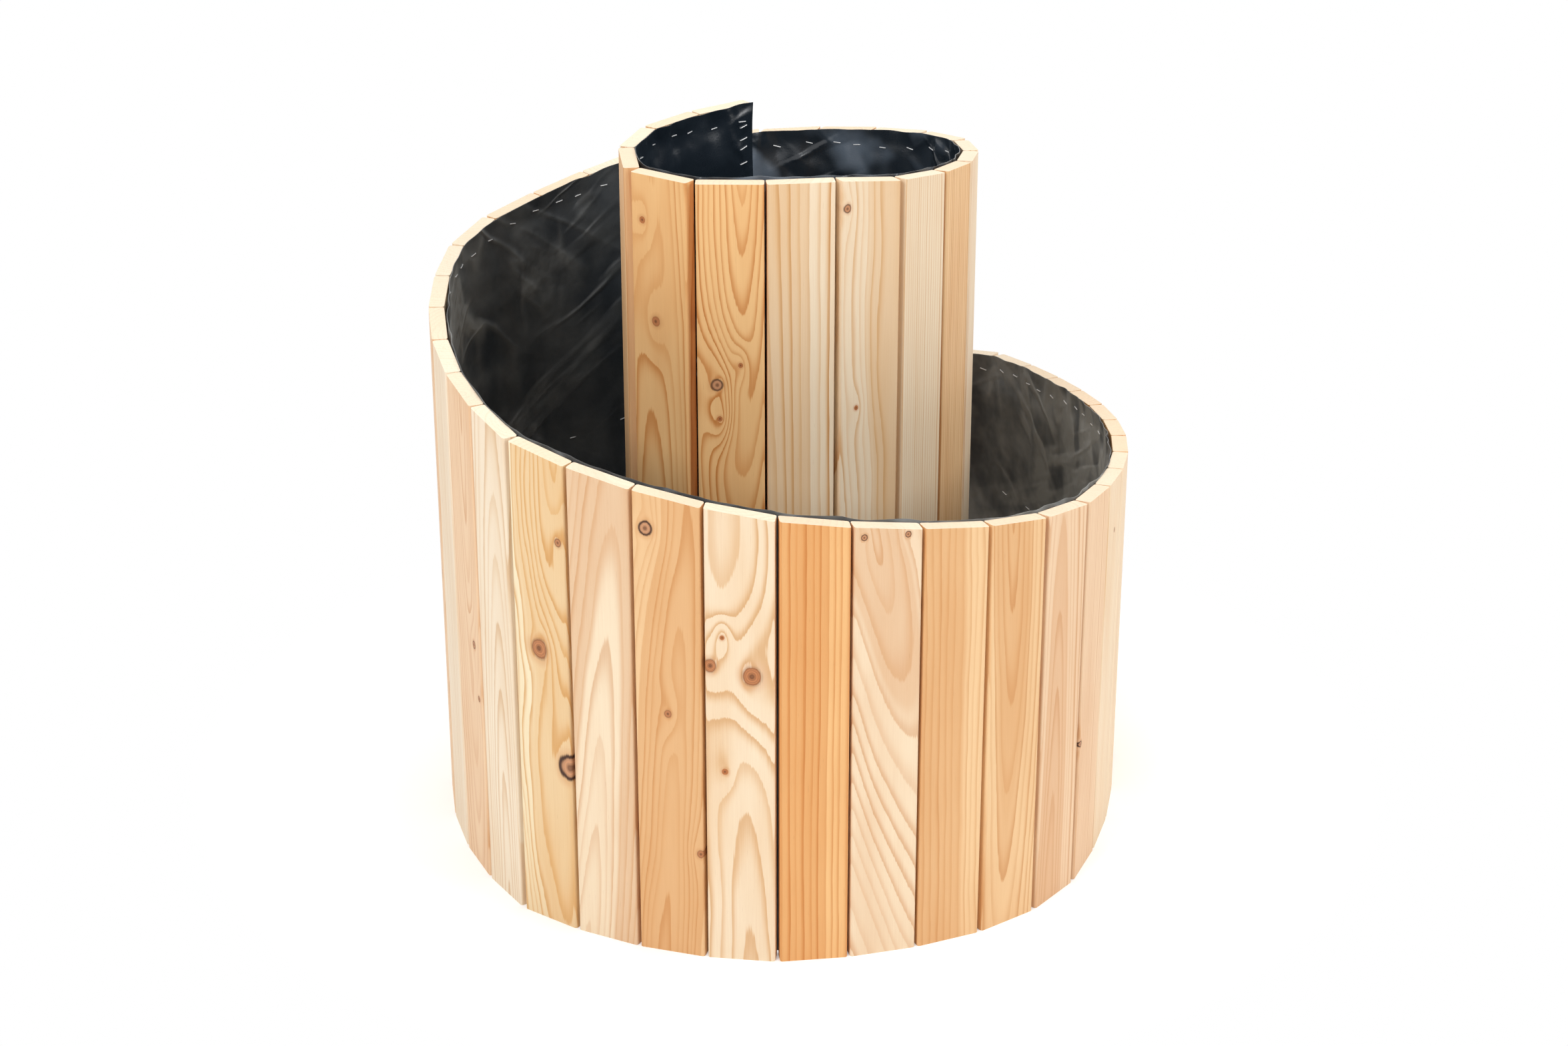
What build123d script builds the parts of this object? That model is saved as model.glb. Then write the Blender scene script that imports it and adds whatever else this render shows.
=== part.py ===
"""Spiral raised garden bed: upright larch boards stapled to one pond-liner film and rolled into a spiral.

Each board stands on the floor and hinges on the film, which covers the hollow side of the wall.
Millimetres, Z up. The origin is on the floor, under the middle of the outline.
"""
import math
import os

from build123d import *

# Boards
BOARD_WIDTH = 88.8
BOARD_THICKNESS = 21.0
BOARD_GAP = 1.2
EDGE_ROUND = 3.5

# Top line: level over the first boards, then one straight slant down to the low end
TALL_HEIGHT = 955.0
LOW_HEIGHT = 370.0
LEVEL_BOARDS = 7

# Plan: how many joints in a row open by the same angle, in degrees, from the tall end outwards
FIRST_HEADING = 217.5
STRETCHES = (
    (1, 12.5), (2, 23.5), (1, 48.5), (1, 33.5), (1, 8.0), (2, 22.5), (3, 14.5), (1, 25.0),
    (1, 18.5), (2, 11.0), (3, 18.5), (2, 5.5), (2, 17.5), (5, 8.0), (1, 21.5), (3, 9.5),
    (1, 15.0), (2, 8.0), (1, 13.0), (2, 15.5), (6, 6.0), (3, 4.0), (5, 27.0),
)

# Liner film; where an end board swings, the film folds into a round bead and the swinging panel clears it
FILM_THICKNESS = 0.8
FILM_TOP_SETBACK = 1.5
FILM_FLOOR_SETBACK = 4.0
FOLD_PLAY = 0.3

# Staples: flat wire, crown on the film, two legs through the film into the board
STAPLE_CROWN = 12.8
STAPLE_WIRE = 1.2
STAPLE_CROWN_HEIGHT = 0.8
STAPLE_LEG_REACH = 11.0
LEG_HOLE_PLAY = 0.05
LEG_HOLE_TIP_ROOM = 0.4

# Where the staples sit on a board
ROW_SPOTS = (0.19, 0.67)
ROW_DROP = 21.0
MIDDLE_SPOT = 0.46
FOOT_SPOT = 0.55
FOOT_ROW_RISE = 32.0
SPOT_WANDER = 0.07
ROW_WANDER = 3.5
TILT_WANDER = 9.0
END_COLUMN_INSET = 15.0
END_COLUMN_DROPS = (10.0, 28.0, 41.0, 63.0)
END_COLUMN_TILT = 16.0

PITCH = BOARD_WIDTH + BOARD_GAP
FOLD_RADIUS = FILM_THICKNESS
LEG_HOLE = STAPLE_WIRE + 2 * LEG_HOLE_PLAY
OPENINGS = [angle for joints, angle in STRETCHES for _ in range(joints)]
BOARD_COUNT = len(OPENINGS) + 1
FIRST = 0
LAST = BOARD_COUNT - 1


def wall_path():
    """The film-side joint points from the tall end to the low end, and each board's heading in radians."""
    points = [(0.0, 0.0)]
    headings = []
    heading = math.radians(FIRST_HEADING)
    for board in range(BOARD_COUNT):
        x, y = points[-1]
        points.append((x + PITCH * math.cos(heading), y + PITCH * math.sin(heading)))
        headings.append(heading)
        if board < LAST:
            heading += math.radians(OPENINGS[board])
    return points, headings


def outline_middle(points, headings):
    """The middle of the outline, from the centres of the boards' rounded corners."""
    centres = []
    for (x, y), heading in zip(points, headings):
        for along in (BOARD_GAP / 2 + EDGE_ROUND, PITCH - BOARD_GAP / 2 - EDGE_ROUND):
            for out in (EDGE_ROUND, BOARD_THICKNESS - EDGE_ROUND):
                centres.append((x + along * math.cos(heading) + out * math.sin(heading),
                                y + along * math.sin(heading) - out * math.cos(heading)))
    xs, ys = zip(*centres)
    return (min(xs) + max(xs)) / 2, (min(ys) + max(ys)) / 2


RAW_POINTS, HEADINGS = wall_path()
MIDDLE = outline_middle(RAW_POINTS, HEADINGS)
POINTS = [(x - MIDDLE[0], y - MIDDLE[1]) for x, y in RAW_POINTS]


def top_at(joint):
    """Height of the top line at a joint number, which can lie between two joints."""
    slanted = max(0.0, joint - LEVEL_BOARDS) / (BOARD_COUNT - LEVEL_BOARDS)
    return TALL_HEIGHT - slanted * (TALL_HEIGHT - LOW_HEIGHT)


def board_plane(board):
    """Plane on a board's film side: X runs along the wall, Y is up and the normal points outwards."""
    x, y = POINTS[board]
    along = HEADINGS[board]
    return Plane(origin=(x, y, 0), x_dir=(math.cos(along), math.sin(along), 0),
                 z_dir=(math.sin(along), -math.cos(along), 0))


def wander(board, phase):
    """A steady unevenness between -1 and 1, as from a hand-held stapler."""
    return math.sin(2.4 * board + phase)


def staple_spots(board):
    """Distance along, height and tilt of each staple on one board."""
    spots = []
    for row, spot in enumerate(ROW_SPOTS):
        along = spot + SPOT_WANDER * wander(board, 1.9 * row)
        height = top_at(board + along) - ROW_DROP + ROW_WANDER * wander(board, 4.0 + row)
        spots.append((along * PITCH, height, TILT_WANDER * wander(board, 2.6 + 1.3 * row)))
    middle = MIDDLE_SPOT + SPOT_WANDER * wander(board, 0.7)
    spots.append((middle * PITCH, top_at(board + middle) / 2, TILT_WANDER * wander(board, 5.1)))
    foot = FOOT_SPOT + SPOT_WANDER * wander(board, 3.3)
    rise = FOOT_ROW_RISE + ROW_WANDER * wander(board, 1.1)
    spots.append((foot * PITCH, rise, TILT_WANDER * wander(board, 0.4)))
    if board in (FIRST, LAST):
        along = END_COLUMN_INSET if board == FIRST else PITCH - END_COLUMN_INSET
        top = top_at(board + along / PITCH) - ROW_DROP
        for step, drop in enumerate(END_COLUMN_DROPS):
            spots.append((along, top - drop, TILT_WANDER / 2 * wander(step, 0.2) - END_COLUMN_TILT))
    return spots


def staple_planes(board):
    """One plane per staple, on the board's film side, turned by the staple's tilt."""
    face = board_plane(board)
    return [Plane(face * Location((along, height, 0), (0, 0, tilt)))
            for along, height, tilt in staple_spots(board)]


def leg_places():
    """Both legs of a staple, from the middle of its crown."""
    reach = (STAPLE_CROWN - STAPLE_WIRE) / 2
    return [(-reach, 0), (reach, 0)]


def film_panel(board, start, end):
    """The outline of one board's stretch of film, on the board's film side."""
    with BuildSketch(board_plane(board)) as outline:
        with BuildLine():
            Polyline((start, FILM_FLOOR_SETBACK), (end, FILM_FLOOR_SETBACK),
                     (end, top_at(board + end / PITCH) - FILM_TOP_SETBACK),
                     (start, top_at(board + start / PITCH) - FILM_TOP_SETBACK), close=True)
        make_face()
    return outline.sketch


def leg_holes(planes):
    """The square outlines of the holes that the staple legs make."""
    with BuildSketch(*planes) as outline:
        with Locations(*leg_places()):
            Rectangle(LEG_HOLE, LEG_HOLE)
    return outline.sketch


def make_board(board):
    """One board: slanted top, four rounded long edges and the holes that the staple legs made."""
    start, end = BOARD_GAP / 2, PITCH - BOARD_GAP / 2
    with BuildPart() as solid:
        with BuildSketch(board_plane(board)):
            with BuildLine():
                Polyline((start, 0), (end, 0), (end, top_at(board + end / PITCH)),
                         (start, top_at(board + start / PITCH)), close=True)
            make_face()
        extrude(amount=BOARD_THICKNESS)
        fillet(solid.edges().filter_by(Axis.Z), radius=EDGE_ROUND)
        extrude(leg_holes(staple_planes(board)), amount=STAPLE_LEG_REACH + LEG_HOLE_TIP_ROOM,
                mode=Mode.SUBTRACT)
    return solid


def make_wall_film():
    """The film over all boards but the two end ones, folded about each line that an end board swings on."""
    planes = [plane for board in range(FIRST + 1, LAST) for plane in staple_planes(board)]
    with BuildPart() as solid:
        for board in range(FIRST + 1, LAST):
            extrude(film_panel(board, 0, PITCH), amount=-FILM_THICKNESS)
        for joint in (FIRST + 1, LAST):
            with BuildSketch(Plane.XY.offset(FILM_FLOOR_SETBACK)):
                with Locations(POINTS[joint]):
                    Circle(FOLD_RADIUS)
            extrude(amount=top_at(joint) - FILM_TOP_SETBACK - FILM_FLOOR_SETBACK)
        extrude(leg_holes(planes), amount=-2 * FILM_THICKNESS, mode=Mode.SUBTRACT)
    return solid


def make_end_film(board):
    """The film on one end board, up to the fold that the board swings on."""
    setback = FOLD_RADIUS + FOLD_PLAY
    start, end = (0, PITCH - setback) if board == FIRST else (setback, PITCH)
    with BuildPart() as solid:
        extrude(film_panel(board, start, end), amount=-FILM_THICKNESS)
        extrude(leg_holes(staple_planes(board)), amount=-2 * FILM_THICKNESS, mode=Mode.SUBTRACT)
    return solid


def make_staples(first_board, last_board):
    """The staples of a run of boards, each a crown on the film with two legs."""
    planes = [plane for board in range(first_board, last_board + 1) for plane in staple_planes(board)]
    crowns = [plane.offset(-FILM_THICKNESS) for plane in planes]
    with BuildPart() as solid:
        with BuildSketch(*crowns):
            Rectangle(STAPLE_CROWN, STAPLE_WIRE)
        extrude(amount=-STAPLE_CROWN_HEIGHT)
        with BuildSketch(*crowns):
            with Locations(*leg_places()):
                Rectangle(STAPLE_WIRE, STAPLE_WIRE)
        extrude(amount=FILM_THICKNESS + STAPLE_LEG_REACH)
    return solid


def save(solid, label):
    """Labels a finished piece and writes it to its own file."""
    solid.part.label = label
    export_step(solid.part, f"parts/{label}.step")


os.makedirs("parts", exist_ok=True)

for number in range(BOARD_COUNT):
    save(make_board(number), f"stave_{number + 1:02d}")

save(make_end_film(FIRST), "liner_tall_end")
save(make_wall_film(), "liner")
save(make_end_film(LAST), "liner_low_end")

save(make_staples(FIRST, FIRST), "staples_tall_end")
save(make_staples(FIRST + 1, LAST - 1), "staples")
save(make_staples(LAST, LAST), "staples_low_end")
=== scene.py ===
"""Dresses a spiral raised garden bed: planed larch boards, a black pond-liner film and wire staples."""

import logging
import math
import random
from dataclasses import dataclass, field
from enum import Enum

import bmesh
import bpy
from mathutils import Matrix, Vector, noise


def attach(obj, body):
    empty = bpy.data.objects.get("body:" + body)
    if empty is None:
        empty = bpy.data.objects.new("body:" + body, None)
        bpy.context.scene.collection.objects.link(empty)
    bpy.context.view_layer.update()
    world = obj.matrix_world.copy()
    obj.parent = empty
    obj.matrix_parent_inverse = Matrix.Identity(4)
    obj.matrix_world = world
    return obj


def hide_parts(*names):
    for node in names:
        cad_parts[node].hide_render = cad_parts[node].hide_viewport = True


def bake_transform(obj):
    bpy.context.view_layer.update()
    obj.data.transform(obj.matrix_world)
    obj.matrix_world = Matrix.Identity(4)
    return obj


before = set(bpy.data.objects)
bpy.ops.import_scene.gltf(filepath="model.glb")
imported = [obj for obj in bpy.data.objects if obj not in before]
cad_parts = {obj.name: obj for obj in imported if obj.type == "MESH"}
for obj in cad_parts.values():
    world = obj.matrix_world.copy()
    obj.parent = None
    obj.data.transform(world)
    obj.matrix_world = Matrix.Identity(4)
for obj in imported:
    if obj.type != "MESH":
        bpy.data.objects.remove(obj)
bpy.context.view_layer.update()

LOG = logging.getLogger("raised_bed")

BOARD_GAP = 0.0012

PHOTO_WIDTH = 2351
FOCAL_PIXELS = 4591.6
SENSOR_WIDTH = 36.0
CAMERA_PLACE = (0.0004, -4.0176, 2.1565)
CAMERA_PITCH = 24.0


class Tone(Enum):
    """The wood colours that the boards come in: (earlywood, latewood), as sRGB bytes."""

    CREAM = ((248, 228, 198), (226, 175, 112))
    IVORY = ((249, 234, 210), (226, 188, 138))
    PEACH = ((244, 206, 157), (213, 146, 80))
    ROSE = ((244, 212, 176), (214, 152, 94))
    AMBER = ((247, 199, 138), (214, 134, 60))
    BLUSH = ((248, 228, 197), (212, 149, 88))
    GOLD = ((249, 234, 198), (222, 158, 68))
    TAN = ((244, 200, 148), (198, 130, 74))


class Held(Enum):
    """Which stretch of liner a piece is, which sets the CAD liner node that it stands in for."""

    BY_WALL = "wall"
    OVER_TALL_HINGE = "tall_end"
    OVER_LOW_HINGE = "low_end"


def linear(byte: float) -> float:
    """One sRGB byte as a linear value from 0 to 1."""
    share = byte / 255.0
    return share / 12.92 if share <= 0.04045 else ((share + 0.055) / 1.055) ** 2.4


def rgba(colour: tuple[float, float, float]) -> tuple[float, float, float, float]:
    """An sRGB byte colour as the linear colour that a shader socket takes."""
    return (linear(colour[0]), linear(colour[1]), linear(colour[2]), 1.0)


@dataclass
class Signal:
    """One output socket in a node tree, with arithmetic that adds Math nodes.

    Args:
        tree: The node tree that holds the socket.
        socket: The output socket.
    """

    tree: bpy.types.NodeTree
    socket: bpy.types.NodeSocket

    def _math(self, operation: str, *others: "Signal | float") -> "Signal":
        """Adds a Math node on this signal and up to two more values."""
        node = self.tree.nodes.new("ShaderNodeMath")
        node.operation = operation
        for place, value in enumerate((self, *others)):
            plug(self.tree, value, node.inputs[place])
        return Signal(self.tree, node.outputs[0])

    def __add__(self, other: "Signal | float") -> "Signal":
        return self._math("ADD", other)

    def __sub__(self, other: "Signal | float") -> "Signal":
        return self._math("SUBTRACT", other)

    def __mul__(self, other: "Signal | float") -> "Signal":
        return self._math("MULTIPLY", other)

    def __truediv__(self, other: "Signal | float") -> "Signal":
        return self._math("DIVIDE", other)

    def power(self, exponent: float) -> "Signal":
        """This signal raised to a power."""
        return self._math("POWER", exponent)

    def root(self) -> "Signal":
        """The square root of this signal."""
        return self._math("SQRT")

    def exponential(self) -> "Signal":
        """e raised to this signal."""
        return self._math("EXPONENT")

    def fraction(self) -> "Signal":
        """What this signal has past its last whole number."""
        return self._math("FRACT")

    def floor(self) -> "Signal":
        """This signal's last whole number."""
        return self._math("FLOOR")

    def size(self) -> "Signal":
        """This signal without its sign."""
        return self._math("ABSOLUTE")

    def sign(self) -> "Signal":
        """1 where this signal is above zero and -1 where it is below."""
        return self._math("SIGN")

    def at_least(self, other: "Signal | float") -> "Signal":
        """The larger of this signal and another value."""
        return self._math("MAXIMUM", other)

    def at_most(self, other: "Signal | float") -> "Signal":
        """The smaller of this signal and another value."""
        return self._math("MINIMUM", other)

    def step(self, low: float, high: float, out_low: float = 0.0, out_high: float = 1.0) -> "Signal":
        """A smooth step.

        Args:
            low: Where the step begins.
            high: Where the step ends.
            out_low: The value before it.
            out_high: The value after it.

        Returns:
            The stepped signal.
        """
        node = self.tree.nodes.new("ShaderNodeMapRange")
        node.interpolation_type = "SMOOTHSTEP"
        Bench(self.tree).fill(node, {"Value": self, "From Min": low, "From Max": high,
                                     "To Min": out_low, "To Max": out_high})
        return Signal(self.tree, node.outputs["Result"])


def plug(tree: bpy.types.NodeTree, value: object, socket: bpy.types.NodeSocket) -> None:
    """Links a signal or a socket to a socket, or writes a plain value on it."""
    if isinstance(value, Signal):
        value = value.socket
    if isinstance(value, bpy.types.NodeSocket):
        tree.links.new(value, socket)
    else:
        socket.default_value = value


@dataclass
class Bench:
    """Adds the nodes that the finishes share to one node tree.

    Args:
        tree: The node tree to build in.
    """

    tree: bpy.types.NodeTree

    def fill(self, node: bpy.types.Node, inputs: dict) -> None:
        """Puts signals, sockets or plain values on a node's inputs, by their names or numbers."""
        for socket, value in inputs.items():
            plug(self.tree, value, node.inputs[socket])

    def node(self, kind: str, inputs: dict | None = None) -> bpy.types.Node:
        """A new node of a kind, with its inputs filled."""
        node = self.tree.nodes.new(kind)
        self.fill(node, inputs or {})
        return node

    def signal(self, socket: bpy.types.NodeSocket) -> Signal:
        """A socket as a signal."""
        return Signal(self.tree, socket)

    def split(self, vector: "Signal | bpy.types.NodeSocket") -> tuple[Signal, Signal, Signal]:
        """A vector's X, Y and Z."""
        node = self.node("ShaderNodeSeparateXYZ", {0: vector})
        return tuple(self.signal(output) for output in node.outputs)

    def join(self, x: "Signal | float", y: "Signal | float", z: "Signal | float") -> Signal:
        """A vector from its X, Y and Z."""
        return self.signal(self.node("ShaderNodeCombineXYZ", {0: x, 1: y, 2: z}).outputs[0])

    def noise(self, vector: Signal, scale: float, detail: float = 2.0, rough: float = 0.5,
              turn: "Signal | float" = 0.0) -> Signal:
        """Fractal noise from 0 to 1.

        Args:
            vector: Where the noise is read.
            scale: Lumps per metre.
            detail: How many octaves there are.
            rough: How strong the fine octaves are.
            turn: The fourth coordinate, which sets one board's noise apart from the next one's.

        Returns:
            The noise.
        """
        node = self.node("ShaderNodeTexNoise")
        node.noise_dimensions = "4D"
        self.fill(node, {"Vector": vector, "W": turn, "Scale": scale, "Detail": detail, "Roughness": rough})
        return self.signal(node.outputs[0])

    def chance(self, value: Signal) -> Signal:
        """A steady random number from 0 to 1 for each value."""
        node = self.node("ShaderNodeTexWhiteNoise")
        node.noise_dimensions = "1D"
        self.fill(node, {"W": value})
        return self.signal(node.outputs["Value"])

    def mix(self, share: "Signal | float", first: "Signal | tuple", second: "Signal | tuple") -> Signal:
        """Two colours mixed.

        Args:
            share: How much of the second colour there is.
            first: The first colour.
            second: The second colour.

        Returns:
            The mixed colour.
        """
        node = self.node("ShaderNodeMix")
        node.data_type = "RGBA"
        self.fill(node, {0: share, 6: first, 7: second})
        return self.signal(node.outputs[2])

    def bump(self, height: "Signal | bpy.types.NodeSocket", depth: float, strength: float) -> Signal:
        """A bumped normal.

        Args:
            height: The height from 0 to 1.
            depth: The depth in metres of a height of 1.
            strength: How much of the bump shows.

        Returns:
            The normal.
        """
        node = self.node("ShaderNodeBump", {"Strength": strength, "Distance": depth, "Height": height})
        return self.signal(node.outputs[0])


def declare(tree: bpy.types.NodeTree, way: str, sockets: list[tuple[str, str]]) -> None:
    """Adds a node group's inputs or outputs, each given by its name and kind."""
    for name, kind in sockets:
        tree.interface.new_socket(name, in_out=way, socket_type=f"NodeSocket{kind}")


def new_material(name: str) -> tuple[bpy.types.Material, Bench, bpy.types.Node]:
    """A new material, with the bench for its nodes and its main shader."""
    material = bpy.data.materials.new(name)
    material.use_nodes = True
    return material, Bench(material.node_tree), material.node_tree.nodes["Principled BSDF"]


def add_object(name: str, data: bpy.types.ID) -> bpy.types.Object:
    """A new object in the scene that shows a mesh, a lamp or a camera."""
    item = bpy.data.objects.new(name, data)
    bpy.context.scene.collection.objects.link(item)
    return item


def long_axis(points: "list[tuple[float, float]] | set[tuple[float, float]]") -> tuple[float, float, float]:
    """The middle of some flat points, and the angle of the line that they lie along, in radians."""
    mean_u, mean_v = (sum(point[axis] for point in points) / len(points) for axis in (0, 1))
    uu = sum((u - mean_u) ** 2 for u, _ in points)
    vv = sum((v - mean_v) ** 2 for _, v in points)
    uv = sum((u - mean_u) * (v - mean_v) for u, v in points)
    return mean_u, mean_v, 0.5 * math.atan2(2 * uv, uu - vv)


@dataclass(frozen=True)
class Knot:
    """A branch stub in a board's face.

    Args:
        across: Its place across the face from the middle, in metres, to the right seen from outside.
        height: Its height above the floor.
        radius: Its radius.
        swirl: How strongly the rings close round it, in metres of ring shift.
        bark: How dark its rim is, from 0 to 1.
    """

    across: float
    height: float
    radius: float
    swirl: float = 0.0
    bark: float = 0.5


KNOT_PLACES = 4
NO_KNOT = Knot(0.0, -1.0, 0.00001)


@dataclass(frozen=True)
class Figure:
    """How one board was cut from its log, and its colours.

    Args:
        tone: The wood's colours.
        pith_across: How far the log's middle lies to the side of the face's middle, in metres.
        pith_depth: How far it lies behind the face at the floor.
        lean: How much deeper it gets per metre of height, which sets the length of the arches.
        drift: How much further across it gets per metre of height.
        ring: The width of a year's growth.
        wander: How far the rings wander, in metres.
        contrast: How strongly the latewood shows.
        heart: How far from the log's middle the darker wood ends. Below zero, it begins there instead.
        knots: The branch stubs.
    """

    tone: Tone
    pith_across: float = 0.0
    pith_depth: float = 0.03
    lean: float = 0.0
    drift: float = 0.0
    ring: float = 0.003
    wander: float = 0.004
    contrast: float = 0.6
    heart: float = -1.0
    knots: tuple[Knot, ...] = ()


class LarchGrain:
    """The shared node group that grows rings, knots and fibres through a board."""

    NUMBERS = ("Pith across", "Pith depth", "Lean", "Drift", "Ring", "Wander", "Contrast", "Heart", "Seed")
    RESIN_LINE = rgba((170, 100, 48))
    FIBRE = rgba((200, 138, 82))
    DUCT = rgba((168, 106, 58))
    KNOT_LIGHT = rgba((196, 122, 70))
    KNOT_DARK = rgba((132, 74, 42))
    KNOT_SOUND = rgba((226, 184, 146))
    KNOT_HEART = rgba((92, 54, 34))
    KNOT_HALO = rgba((206, 138, 84))
    KNOT_BARK = rgba((70, 44, 32))
    FRESH_CUT = rgba((247, 233, 210))
    SAW_MARK = rgba((216, 176, 134))

    def __init__(self) -> None:
        """Builds the group once."""
        self.tree = bpy.data.node_groups.new("larch_grain", "ShaderNodeTree")
        self.bench = Bench(self.tree)
        self._sockets()
        self._build()

    def _sockets(self) -> None:
        knots = [(f"{part} {number}", kind) for number in range(1, KNOT_PLACES + 1)
                 for part, kind in (("Knot", "Vector"), ("Swirl", "Float"), ("Bark", "Float"))]
        numbers = [(name, "Float") for name in self.NUMBERS]
        declare(self.tree, "INPUT", [("Place", "Vector"), *numbers, ("Earlywood", "Color"),
                                     ("Latewood", "Color"), *knots])
        declare(self.tree, "OUTPUT", [("Colour", "Color"), ("Roughness", "Float"), ("Height", "Float")])

    def _knot_fields(self, given: dict[str, Signal], across: Signal,
                     height: Signal) -> tuple[Signal, Signal, list[tuple[Signal, Signal]]]:
        """What the knots do to the grain.

        Args:
            given: The group's inputs by name.
            across: The place across the face.
            height: The height above the floor.

        Returns:
            The sideways shift of the grain, the shift of the rings, and each knot's distance and bark.
        """
        push: Signal | None = None
        lift: Signal | None = None
        rims = []
        for number in range(1, KNOT_PLACES + 1):
            knot_across, knot_height, radius = self.bench.split(given[f"Knot {number}"])
            sideways = across - knot_across
            along = height - knot_height
            near = sideways * sideways + along * along * 0.30
            far = sideways * sideways + along * along * 0.16
            square = radius * radius
            shift = sideways * (square * 1.25 / near.at_least(square)) * -1.0
            swell = (far / (square * -14.0)).exponential() * given[f"Swirl {number}"]
            round_distance = (sideways * sideways + along * along * 0.82).root() / radius
            rims.append((round_distance, given[f"Bark {number}"]))
            push = shift if push is None else push + shift
            lift = swell if lift is None else lift + swell
        return push, lift, rims

    def _knot(self, colour: Signal, reach: Signal, bark: Signal) -> tuple[Signal, Signal]:
        """Draws one knot over the wood.

        Args:
            colour: The wood's colour.
            reach: The distance from the knot's middle, in its own radii.
            bark: How dark its rim is.

        Returns:
            The colour with the knot, and the knot's rim from 0 to 1.
        """
        bench = self.bench
        rings = (reach * 4.2).fraction().step(0.2, 1.0)
        stub = bench.mix(rings * 0.6, self.KNOT_LIGHT, self.KNOT_DARK)
        stub = bench.mix(bark * 0.42, stub, self.KNOT_SOUND)
        stub = bench.mix(reach.step(0.15, 0.50, 0.70, 0.0), stub, self.KNOT_HEART)
        rim = (reach - 0.97).size().step(0.04, 0.30, 1.0, 0.0)
        colour = bench.mix(reach.step(1.0, 2.1, 1.0, 0.0) * 0.40, colour, self.KNOT_HALO)
        colour = bench.mix(reach.step(0.92, 1.04, 1.0, 0.0), colour, stub)
        return bench.mix(rim * bark, colour, self.KNOT_BARK), rim

    def _build(self) -> None:
        """Adds the nodes between the inputs and the outputs."""
        bench, tree = self.bench, self.tree
        entry, leave = bench.node("NodeGroupInput"), bench.node("NodeGroupOutput")
        given = {socket.name: Signal(tree, socket) for socket in entry.outputs if socket.name}
        across, depth, height = bench.split(given["Place"])
        seed = given["Seed"]

        def streaks(fine: float, long: float, detail: float, rough: float, turn: float = 0.0) -> Signal:
            """Noise that varies faster across the board than along it."""
            place = bench.join(across * fine, depth * fine, height * long)
            return bench.noise(place, 1.0, detail, rough, seed + turn)

        sway = streaks(9.0, 2.1, 2.0, 0.5) - 0.5
        ripple = streaks(40.0, 7.0, 2.0, 0.55, 7.3) - 0.5
        rough_edge = streaks(620.0, 9.0, 2.0, 0.6)
        fibre = streaks(1500.0, 14.0, 3.0, 0.6)
        cloud = streaks(16.0, 3.2, 2.0, 0.5, 3.1)
        duct = streaks(900.0, 45.0, 1.0, 0.5, 5.0)
        push, lift, rims = self._knot_fields(given, across, height)

        from_pith = across + push - given["Pith across"] - given["Drift"] * height
        from_pith = from_pith + sway * given["Wander"] * 2.6 + ripple * given["Wander"] * 0.55
        behind = depth - given["Pith depth"] - given["Lean"] * height + sway * given["Wander"] * 1.1
        distance = (from_pith * from_pith + behind * behind).root() + lift

        years = distance / given["Ring"]
        uneven = bench.noise(bench.join(years * 0.23, seed, 0.0), 1.0, 1.0) * 2.4
        years = years + uneven + rough_edge * 0.22
        share = years.fraction()
        late = share.step(0.25, 0.94).power(1.9) * share.step(0.94, 1.0, 1.0, 0.0)
        late = late * bench.chance(years.floor() + seed).step(0.0, 1.0, 0.45, 1.0)

        heartwood = (given["Heart"] - distance * given["Heart"].sign()).step(-0.003, 0.003)
        shown = late * given["Contrast"]
        colour = bench.mix(heartwood * 0.40, given["Earlywood"], given["Latewood"])
        colour = bench.mix(shown, colour, given["Latewood"])
        colour = bench.mix(cloud.step(0.35, 0.75, 0.0, 0.30), colour, given["Latewood"])
        colour = bench.mix(shown.power(2.5) * 0.55, colour, self.RESIN_LINE)
        colour = bench.mix(fibre.step(0.25, 0.8, 0.0, 0.14), colour, self.FIBRE)
        colour = bench.mix(duct.step(0.70, 0.80, 0.0, 0.20), colour, self.DUCT)

        dent = late * 0.4
        wobble = ripple * 0.9 + (rough_edge - 0.5) * 0.25
        for round_distance, bark in rims:
            colour, rim = self._knot(colour, round_distance + wobble * round_distance, bark)
            dent = dent - rim * bark * 1.2

        normal = bench.node("ShaderNodeNewGeometry").outputs["Normal"]
        up = bench.split(normal)[2].size().step(0.5, 0.9)
        saw = bench.noise(bench.join(across * 240.0, depth * 900.0, height * 240.0), 1.0, 2.0, 0.6, seed)
        cut = bench.mix(0.72, colour, self.FRESH_CUT)
        cut = bench.mix(saw.step(0.45, 0.8, 0.0, 0.30), cut, self.SAW_MARK)
        bench.fill(leave, {"Colour": bench.mix(up, colour, cut),
                           "Roughness": late * -0.10 + 0.56 + fibre * 0.08 + up * 0.2,
                           "Height": dent + fibre * 0.5 + saw * up * 0.9})


@dataclass
class Board:
    """One upright board of the wall, read from its CAD node.

    Args:
        index: Its number along the wall, from the tall end.
        node: Its CAD object.
        middle: The middle of its footprint.
        along: The direction along the wall, towards the low end.
        width: Its width.
        thickness: Its thickness.
        top_start: The height of its top at the tall-end side.
        top_end: The height of its top at the low-end side.
    """

    index: int
    node: bpy.types.Object
    middle: Vector
    along: Vector
    width: float
    thickness: float
    top_start: float = 0.0
    top_end: float = 0.0

    @property
    def inward(self) -> Vector:
        """The direction from the board to the hollow side, where the film is."""
        return Vector((-self.along.y, self.along.x, 0.0))

    @property
    def heading(self) -> float:
        """The angle of the wall's direction, in radians."""
        return math.atan2(self.along.y, self.along.x)

    @property
    def joint(self) -> Vector:
        """The point on the floor where the film side meets the previous board's."""
        half = (self.width + BOARD_GAP) / 2
        return self.middle - self.along * half + self.inward * (self.thickness / 2)

    @property
    def face_middle(self) -> Vector:
        """The middle of the outer face at the floor."""
        return self.middle - self.inward * (self.thickness / 2)


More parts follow.
